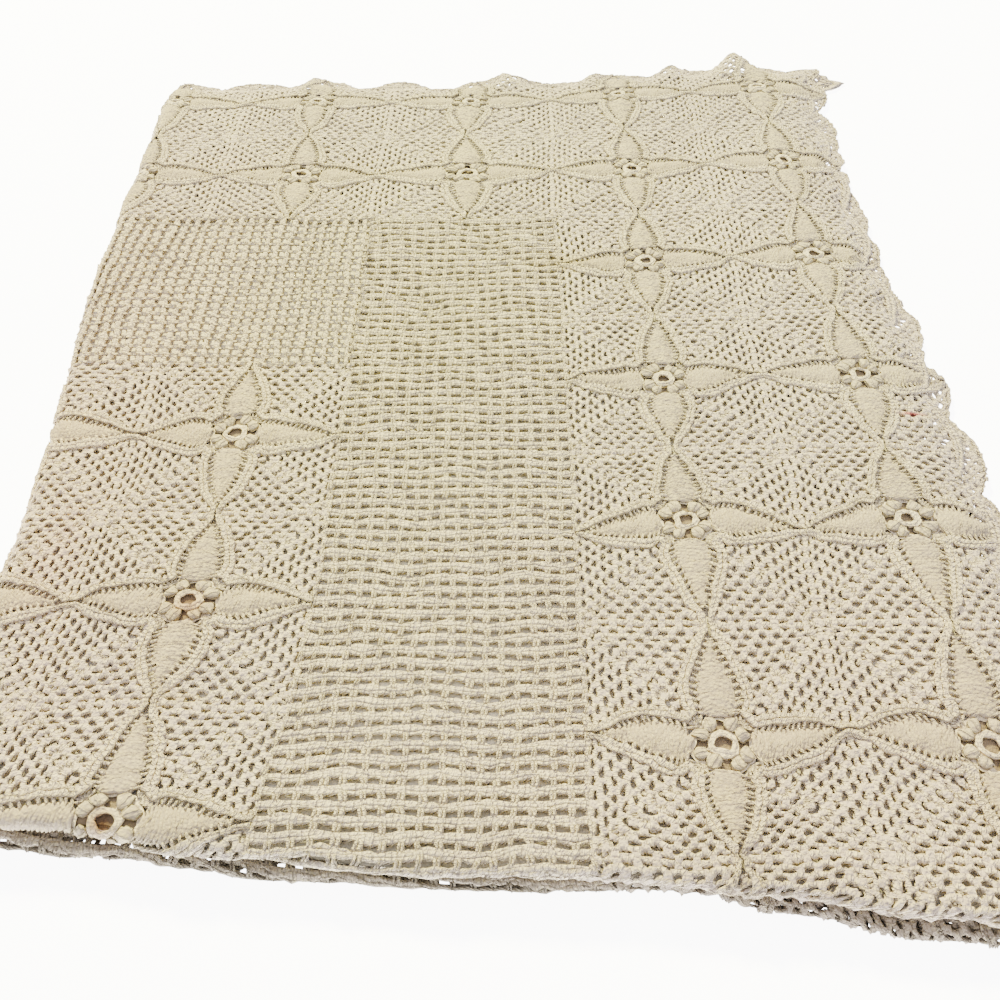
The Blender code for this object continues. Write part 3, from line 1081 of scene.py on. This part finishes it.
# %% Rows and posts of openwork
CELL = 0.0127
ROW = 0.01175
Openwork = namedtuple("Openwork", "side post_size lift")
OPEN = Openwork(0.0021, (0.88, 1, 1), 0.0005)
# The far band is worked closer: its strands lie side by side, and long narrow posts cover them.
CLOSE = Openwork(0.0011, (0.62, 1.75, 1), 0.0011)
STRAND_NOISE = 0.0002
POST_NOISE = 0.0003
TURN_NOISE = 0.10
SIZE_NOISE = 0.08


def post():
    """Two short upright strands, seen from above."""
    paths = Paths()
    for side in (-1, 1):
        paths.add([(side * 0.0013, -0.0034, 0.0), (side * 0.0015, 0.0034, 0.0004)])
    return bpy.data.objects.new("post", paths.worked("post", ROUND_SECTION, 0.0030, 0.0030, 0.01))


POST = post()


def openwork(first_across, last_across, first_along, last_along, style=OPEN):
    """A band whose rows run across. The style says how far a row's outer strands lie from its middle,
    and how large and how high the posts are."""
    generator = np.random.default_rng(7)
    cells = round((last_across - first_across) / CELL)
    rows = round((last_along - first_along) / ROW)
    cell = (last_across - first_across) / cells
    row = (last_along - first_along) / rows
    posts = first_across + np.arange(cells + 1) * cell
    strands = Paths()
    for number in range(rows):
        middle = first_along + (number + 0.5) * row
        sway = generator.normal(0, STRAND_NOISE, cells + 1)
        for offset, height in ((-style.side, 0.0), (0.0, 0.0005), (style.side, 0.0)):
            own = sway + generator.normal(0, STRAND_NOISE, cells + 1)
            heights = height + generator.normal(0, STRAND_NOISE, cells + 1)
            points = np.column_stack([posts, middle + offset + own, heights])
            outward = np.tile((0, np.sign(offset), 0), (cells + 1, 1))
            strands.add(points, outward, np.arange(cells + 1) + number * 0.5)
    seams = first_along + np.arange(rows + 1) * row
    places = [(across, along, style.lift) for along in seams for across in posts]
    places = np.array(places) + generator.normal(0, POST_NOISE, (len(places), 3))
    turns = generator.normal(0, TURN_NOISE, len(places))
    scales = generator.normal(1, SIZE_NOISE, (len(places), 3)) * style.post_size
    return Lace.of(
        strands.worked(
            "strands", LOOP_SECTION, 0.0040, 0.0026, CELL / 3, swing=0.0004, lift=0.0002, swell=0.3
        ),
        set_on(places, POST, turns, scales),
    )


def turned_openwork(first_across, last_across, first_along, last_along):
    """A close band whose rows run along."""
    lace = openwork(first_along, last_along, first_across, last_across, CLOSE)
    return lace.flipped(lace.points[:, [1, 0, 2]])


print("ten cells of openwork each way have", openwork(0, 10 * CELL, 0, 10 * ROW).triangles(), "triangles")

# %% [markdown]
# ## The quarter that we look at
#
# The flat quarter is put together from copies of the square and two bands. The middle squares are a
# little larger or smaller than the border's, so each copy has its own half sizes.

# %% Where the squares lie
# "Pulled" is how far a flower has been pulled along, from the middle of its square.
Place = namedtuple("Place", "across along half_across half_along pulled")
ROWS_PULLED = (0.0, -0.009, 0.008, 0.0, 0.0, 0.0, 0.004)
BORDER_SIDE = [
    Place(square.centre, row.centre, square.half_width, row.half_width, pulled)
    for square in SQUARES_ACROSS[3:] for row, pulled in zip(SQUARES_ALONG, ROWS_PULLED)
]
BORDER_FAR = [
    Place(square.centre, row.centre, square.half_width, row.half_width, pulled)
    for square in SQUARES_ACROSS[:3] for row, pulled in list(zip(SQUARES_ALONG, ROWS_PULLED))[-2:]
]
MIDDLE_SEAMS = (-0.066, 0.118, 0.3055, 0.502)
MIDDLE = [
    Place(square.centre, (near + far) / 2, square.half_width, (far - near) / 2, 0.0)
    for square in SQUARES_ACROSS[:2] for near, far in zip(MIDDLE_SEAMS, MIDDLE_SEAMS[1:])
]
BAND_LEFT = 1.5 * BLOCK
BAND_RIGHT = BAND_LEFT + BAND_BLOCK
BAND_NEAR = -0.12
BAND_FAR = 4 * BLOCK
print("the quarter has", len(BORDER_SIDE + BORDER_FAR + MIDDLE), "flower squares")


def square_at(place, square=None):
    square = square or FLOWER_SQUARE
    points = square.points * (place.half_across / HALF_BLOCK, place.half_along / HALF_BLOCK, 1)
    from_edge = 1 - np.abs(square.points[:, :2] / HALF_BLOCK)
    points[:, 1] += place.pulled * np.clip(from_edge * 1.5, 0, 1).prod(axis=1)
    return square.moved(points + (place.across, place.along, 0))


# %% The scalloped outline
CORD_POINTS = 0.004
EDGE_INSET = 0.0045  # the net ends here, under the edge's two cords


def scallop(position, squares):
    """How far the scallops stand out beside a place on the edge: round lobes, notches between."""
    position = np.abs(position)
    height = np.full(len(position), SCALLOP)
    for square in reversed(squares):
        inside = position <= square.centre + square.half_width
        lobes = SCALLOP * np.abs(np.cos(math.pi * (position - square.centre) / square.half_width))
        height = np.where(inside, lobes, height)
    return height


def outline(across, along, inset):
    """Where the right and far edges lie, beside the places given, less the inset."""
    right = HALF_WIDTH + scallop(along, SQUARES_ALONG) - inset
    far = HALF_LENGTH + scallop(across, SQUARES_ACROSS) - inset
    return right, far


def edge_cords():
    """Two cords that follow the scallops, one inside the other."""
    paths = Paths()
    for inset, size in ((0.0022, 1.0), (0.0063, 0.9)):
        across = np.arange(-0.05, HALF_WIDTH - CORD_POINTS, CORD_POINTS)
        along = np.arange(HALF_LENGTH - CORD_POINTS, BAND_NEAR, -CORD_POINTS)
        right, far = outline(across, along, inset)
        corner = [(HALF_WIDTH + SCALLOP - inset - 0.003, HALF_LENGTH + SCALLOP - inset - 0.003)]
        flat = np.vstack([np.column_stack([across, far]), corner, np.column_stack([right, along])])
        paths.add(np.column_stack([flat, np.zeros(len(flat))]), size=size)
    return paths.worked("edge cords", CHAIN_SECTION, 0.0044, 0.0028, 0.0032)


def inside_outline(points, inset):
    across, along = np.abs(points[:, 0]), np.abs(points[:, 1])
    right, far = outline(across, along, inset)
    return (across < right) & (along < far)


print("a scallop is", SCALLOP, "m high, and the cords inside it are", CORD_POINTS, "m from point to point")


# %% Uneven, as hands work
# Smooth waves of several lengths shift the stitches, so that no two rows are quite alike.
Wobble = namedtuple("Wobble", "length shift rise")
WOBBLES = (
    Wobble(0.200, 0.0010, 0.0),
    Wobble(0.050, 0.0005, 0.0002),
    Wobble(0.016, 0.0003, 0.0002),
    Wobble(0.007, 0.0003, 0.0002),
)


def uneven(points, seed=3):
    generator = np.random.default_rng(seed)
    moved = points.copy()
    for wobble in WOBBLES:
        for _ in range(4):
            angle, *phases = generator.uniform(0, 2 * math.pi, 4)
            wave = 2 * math.pi / (wobble.length * generator.uniform(0.7, 1.4))
            travel = (points[:, 0] * math.cos(angle) + points[:, 1] * math.sin(angle)) * wave
            for axis, size in enumerate((wobble.shift, wobble.shift, wobble.rise)):
                moved[:, axis] += size * np.sin(travel + phases[axis])
    return moved


print("the longest wave is", WOBBLES[0].length, "m, and the shortest", WOBBLES[-1].length, "m")

# %% [markdown]
# ## Cut, fold and finish
#
# The visible quarter also wraps round the two folds, so its lace goes a little past them.

# %% Cutting the lace along the folds and the outline
LAP = 0.012  # how far the lace goes on past a fold


def from_folds(middle):
    """How far places on the flat cloth lie right of the side fold, and beyond the near fold."""
    return middle[:, 0] - side_fold(middle[:, 1]), middle[:, 1] - near_fold(middle[:, 0])


def top_quarter(lace, inset=EDGE_INSET):
    lace = lace.moved(uneven(lace.points))
    middle = lace.centres()
    from_side, from_near = from_folds(middle)
    own = (from_side > -SIDE_BEND - LAP) & (from_near > -NEAR_BEND - LAP)
    return lace.kept(own & inside_outline(middle, inset))


OVER_FLOOR = 0.0003


def finish(name, *parts):
    """Joins the parts, lays them in the stack, and makes one piece of them."""
    lace = Lace.joined(parts)
    # The height over the cloth's middle lets the cotton paint shade low in the lace.
    above_middle = lace.points[:, 2]
    points = laid(lace.points)
    points[:, 2] = np.maximum(points[:, 2], OVER_FLOOR)
    lace = lace.moved(points)
    piece = bpy.data.objects.new(name, lace.mesh(name))
    store_values(piece.data, "above_middle", above_middle)
    piece.data.materials.append(COTTON)
    bpy.context.scene.collection.objects.link(piece)
    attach(piece, "root")
    print(name, "has", lace.triangles(), "triangles")


# %% The seven pieces of the top quarter
finish("middle_squares", *[top_quarter(square_at(place)) for place in MIDDLE])
finish("border_side_far", *[top_quarter(square_at(place)) for place in BORDER_SIDE if place.along > 0.4])
finish("border_side_near", *[top_quarter(square_at(place)) for place in BORDER_SIDE if place.along < 0.4])
finish("border_far", *[top_quarter(square_at(place)) for place in BORDER_FAR])
finish("openwork_side", top_quarter(openwork(BAND_LEFT, BAND_RIGHT, BAND_NEAR, BAND_FAR)))
finish("openwork_far", top_quarter(turned_openwork(-0.06, BAND_LEFT, MIDDLE_SEAMS[-1], BAND_FAR)))
finish("edge_cords", top_quarter(Lace.of(edge_cords()), inset=0))

# %% [markdown]
# ## The other three quarters
#
# The three quarters below show only at their scalloped edges, at the lower fold, and as something brown
# deep in the holes. So their edges and the fold are lace, from mirrored copies of the same stitches, and
# what lies between them is one plain sheet.

# %% Lace at the lower edges and at the lower fold
STRIP = 0.022
FOLD_STRIP = 0.024


def strips(lace):
    """The parts of mirrored lace that show below the top quarter."""
    kept = []
    for across, along in ((1, -1), (-1, 1), (-1, -1)):
        copy = lace.mirrored(across, along)
        copy = copy.moved(uneven(copy.points))
        middle = copy.centres()
        at_edge = np.any(np.abs(middle[:, :2]) > (HALF_WIDTH - STRIP, HALF_LENGTH - STRIP), axis=1)
        from_side, from_near = from_folds(middle)
        turned_side, turned_near = from_side < -SIDE_BEND - LAP, from_near < -NEAR_BEND - LAP
        own = (turned_side == (across < 0)) & (turned_near == (along < 0))
        kept.append(copy.kept(at_edge & own))
    return Lace.joined(kept)


def lower_fold(lace):
    """The part of mirrored lace that goes round the lower fold."""
    copy = lace.mirrored(-1, 1)
    copy = copy.moved(uneven(copy.points))
    middle = copy.centres()
    from_side, from_near = from_folds(middle)
    at_fold = (from_side < -SIDE_BEND - LAP) & (np.abs(from_near) < NEAR_BEND + FOLD_STRIP)
    return copy.kept(at_fold & inside_outline(middle, EDGE_INSET))


outer = [place for place in BORDER_SIDE + BORDER_FAR if place.across > 0.7 or place.along > 0.95]
outer = [square_at(place, PLAIN_SQUARE) for place in outer]
outer = [lace.kept(inside_outline(lace.centres(), EDGE_INSET)) for lace in outer]
finish("lower_edges", *[strips(lace) for lace in outer], strips(Lace.of(edge_cords())))
near_squares = [square_at(place) for place in BORDER_SIDE if place.along < 0.2]
near_rows = openwork(0.0, BAND_RIGHT, BAND_NEAR, -BAND_NEAR)
finish("lower_fold", *[lower_fold(lace) for lace in [*near_squares, near_rows]])


# %% The plain sheet between
# A small raise holds the sheet close under the holes of the lace.
INNER_RAISE = 0.0018
INNER_THICKNESS = 0.003
INNER_INSET = 0.02
IN_FOLD = -0.0016
FOLD_SHARE = 0.1  # of the grid lines' shares, on each side of a fold


def spread(share, crest, bend, end):
    """A grid line's place: shares of -1 to 1 run from edge to edge, and the fold is about zero."""
    beyond = (np.abs(share) - FOLD_SHARE) / (1 - FOLD_SHARE)
    left = crest - bend - beyond * (crest - bend + end)
    right = crest + bend + beyond * (end - crest - bend)
    outside = np.where(share < 0, left, right)
    return np.where(np.abs(share) > FOLD_SHARE, outside, crest + share / FOLD_SHARE * bend)


def grid_lines(count, fold_count):
    outside = np.linspace(FOLD_SHARE, 1, count + 1)[1:]
    return np.concatenate([-outside[::-1], np.linspace(-FOLD_SHARE, FOLD_SHARE, fold_count + 1), outside])


def inner_sheet():
    """The lower three quarters as one sheet. It stops short of the top quarter and of the lower fold."""
    share_across, share_along = np.meshgrid(grid_lines(40, 10), grid_lines(54, 8))
    rough = share_along * HALF_LENGTH
    across = spread(share_across, side_fold(rough), SIDE_BEND, HALF_WIDTH - INNER_INSET)
    fold_along = near_fold(across.ravel()).reshape(across.shape)
    along = spread(share_along, fold_along, NEAR_BEND, HALF_LENGTH - INNER_INSET)
    height = np.where(np.abs(across - side_fold(along)) < SIDE_BEND + 0.01, IN_FOLD, 0)
    flat = np.column_stack([across.ravel(), along.ravel(), height.ravel()])
    sheet = plain_lace(flat, quads(across.shape, (0, 1, 2, 3)), LINK / 2, GROOVE)
    from_side, from_near = from_folds(sheet.centres())
    below_top = (from_side < SIDE_BEND * 0.3) | (from_near < -NEAR_BEND - 0.008)
    lower_lip = (from_side < 0) & (np.abs(from_near) < NEAR_BEND + STRIP)
    sheet = sheet.kept(below_top & ~lower_lip)
    sheet = sheet.moved(laid(sheet.points) + (0, 0, INNER_RAISE))
    piece = bpy.data.objects.new("inner_sheet", sheet.mesh("inner_sheet"))
    piece.data.materials.append(INNER_COTTON)
    solid = piece.modifiers.new("thickness", "SOLIDIFY")
    solid.thickness = INNER_THICKNESS
    solid.offset = 0
    bpy.context.scene.collection.objects.link(piece)
    print("inner_sheet has", sheet.triangles(), "triangles before it gets its thickness")
    return piece


# The size is the whole bedspread's. This sheet covers a little under three quarters of the outline,
# because the top quarter's cloth is in the lace pieces. The whole cloth is about 3.9 m2.
INNER = inner_sheet()
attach(INNER, "root")
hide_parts("bedspread")

# %% [markdown]
# ## Floor, light and camera
#
# The bedspread lies on a plain white floor in soft light. A wide lamp high up behind it gives each
# stitch a bright far side and a small shadow.

# %% Floor
FLOOR_HALF = 6.0
FLOOR_GLOW = 9.0
corners = [(x * FLOOR_HALF, y * FLOOR_HALF, 0) for x, y in ((-1, -1), (1, -1), (1, 1), (-1, 1))]
floor_mesh = bpy.data.meshes.new("floor")
floor_mesh.from_pydata(corners, [], [(0, 1, 2, 3)])
floor = bpy.data.objects.new("floor", floor_mesh)
bpy.context.scene.collection.objects.link(floor)
floor.location.z = -0.0002
white = bpy.data.materials.new("white_floor")
white.use_nodes = True
paint = white.node_tree.nodes["Principled BSDF"]
paint.inputs["Base Color"].default_value = (0.9, 0.9, 0.9, 1)
paint.inputs["Roughness"].default_value = 0.8
paint.inputs["Emission Color"].default_value = (1, 1, 1, 1)
paint.inputs["Emission Strength"].default_value = FLOOR_GLOW
floor_mesh.materials.append(white)
print("the floor is", 2 * FLOOR_HALF, "m wide")

# %% Light
# The sky's light is a cool white. The lamp is warm and small, so that it colours only what it reaches.
SKY_COLOUR, SKY_STRENGTH = (1.0, 0.975, 1.0, 1), 1.66
LAMP_COLOUR, LAMP_WATTS, LAMP_SIZE = (1.0, 0.92, 0.37), 2520, 1.2
world = bpy.data.worlds.new("soft_room")
bpy.context.scene.world = world
world.use_nodes = True
sky = world.node_tree.nodes["Background"]
sky.inputs["Color"].default_value = SKY_COLOUR
sky.inputs["Strength"].default_value = SKY_STRENGTH
lamp_data = bpy.data.lights.new("wide_lamp", "AREA")
lamp_data.energy = LAMP_WATTS
lamp_data.color = LAMP_COLOUR
lamp_data.size = LAMP_SIZE
lamp = bpy.data.objects.new("wide_lamp", lamp_data)
lamp.location = (-1.8, 5.4, 4.8)
lamp.rotation_euler = (math.radians(-48), math.radians(-16), 0)
bpy.context.scene.collection.objects.link(lamp)
print("the lamp gives", LAMP_WATTS, "W from", [round(place, 1) for place in lamp.location])

# %% Camera
camera_data = bpy.data.cameras.new("camera")
camera_data.lens = 36.15
camera_data.sensor_width = 36
camera_data.clip_start = 0.01
camera = bpy.data.objects.new("camera", camera_data)
camera.location = (-0.0023, -0.8195, 0.6802)
camera.rotation_euler = (math.radians(41.6), 0, 0)
bpy.context.scene.collection.objects.link(camera)
bpy.context.scene.camera = camera
print("the camera stands", round(camera.location.z, 2), "m over the floor")
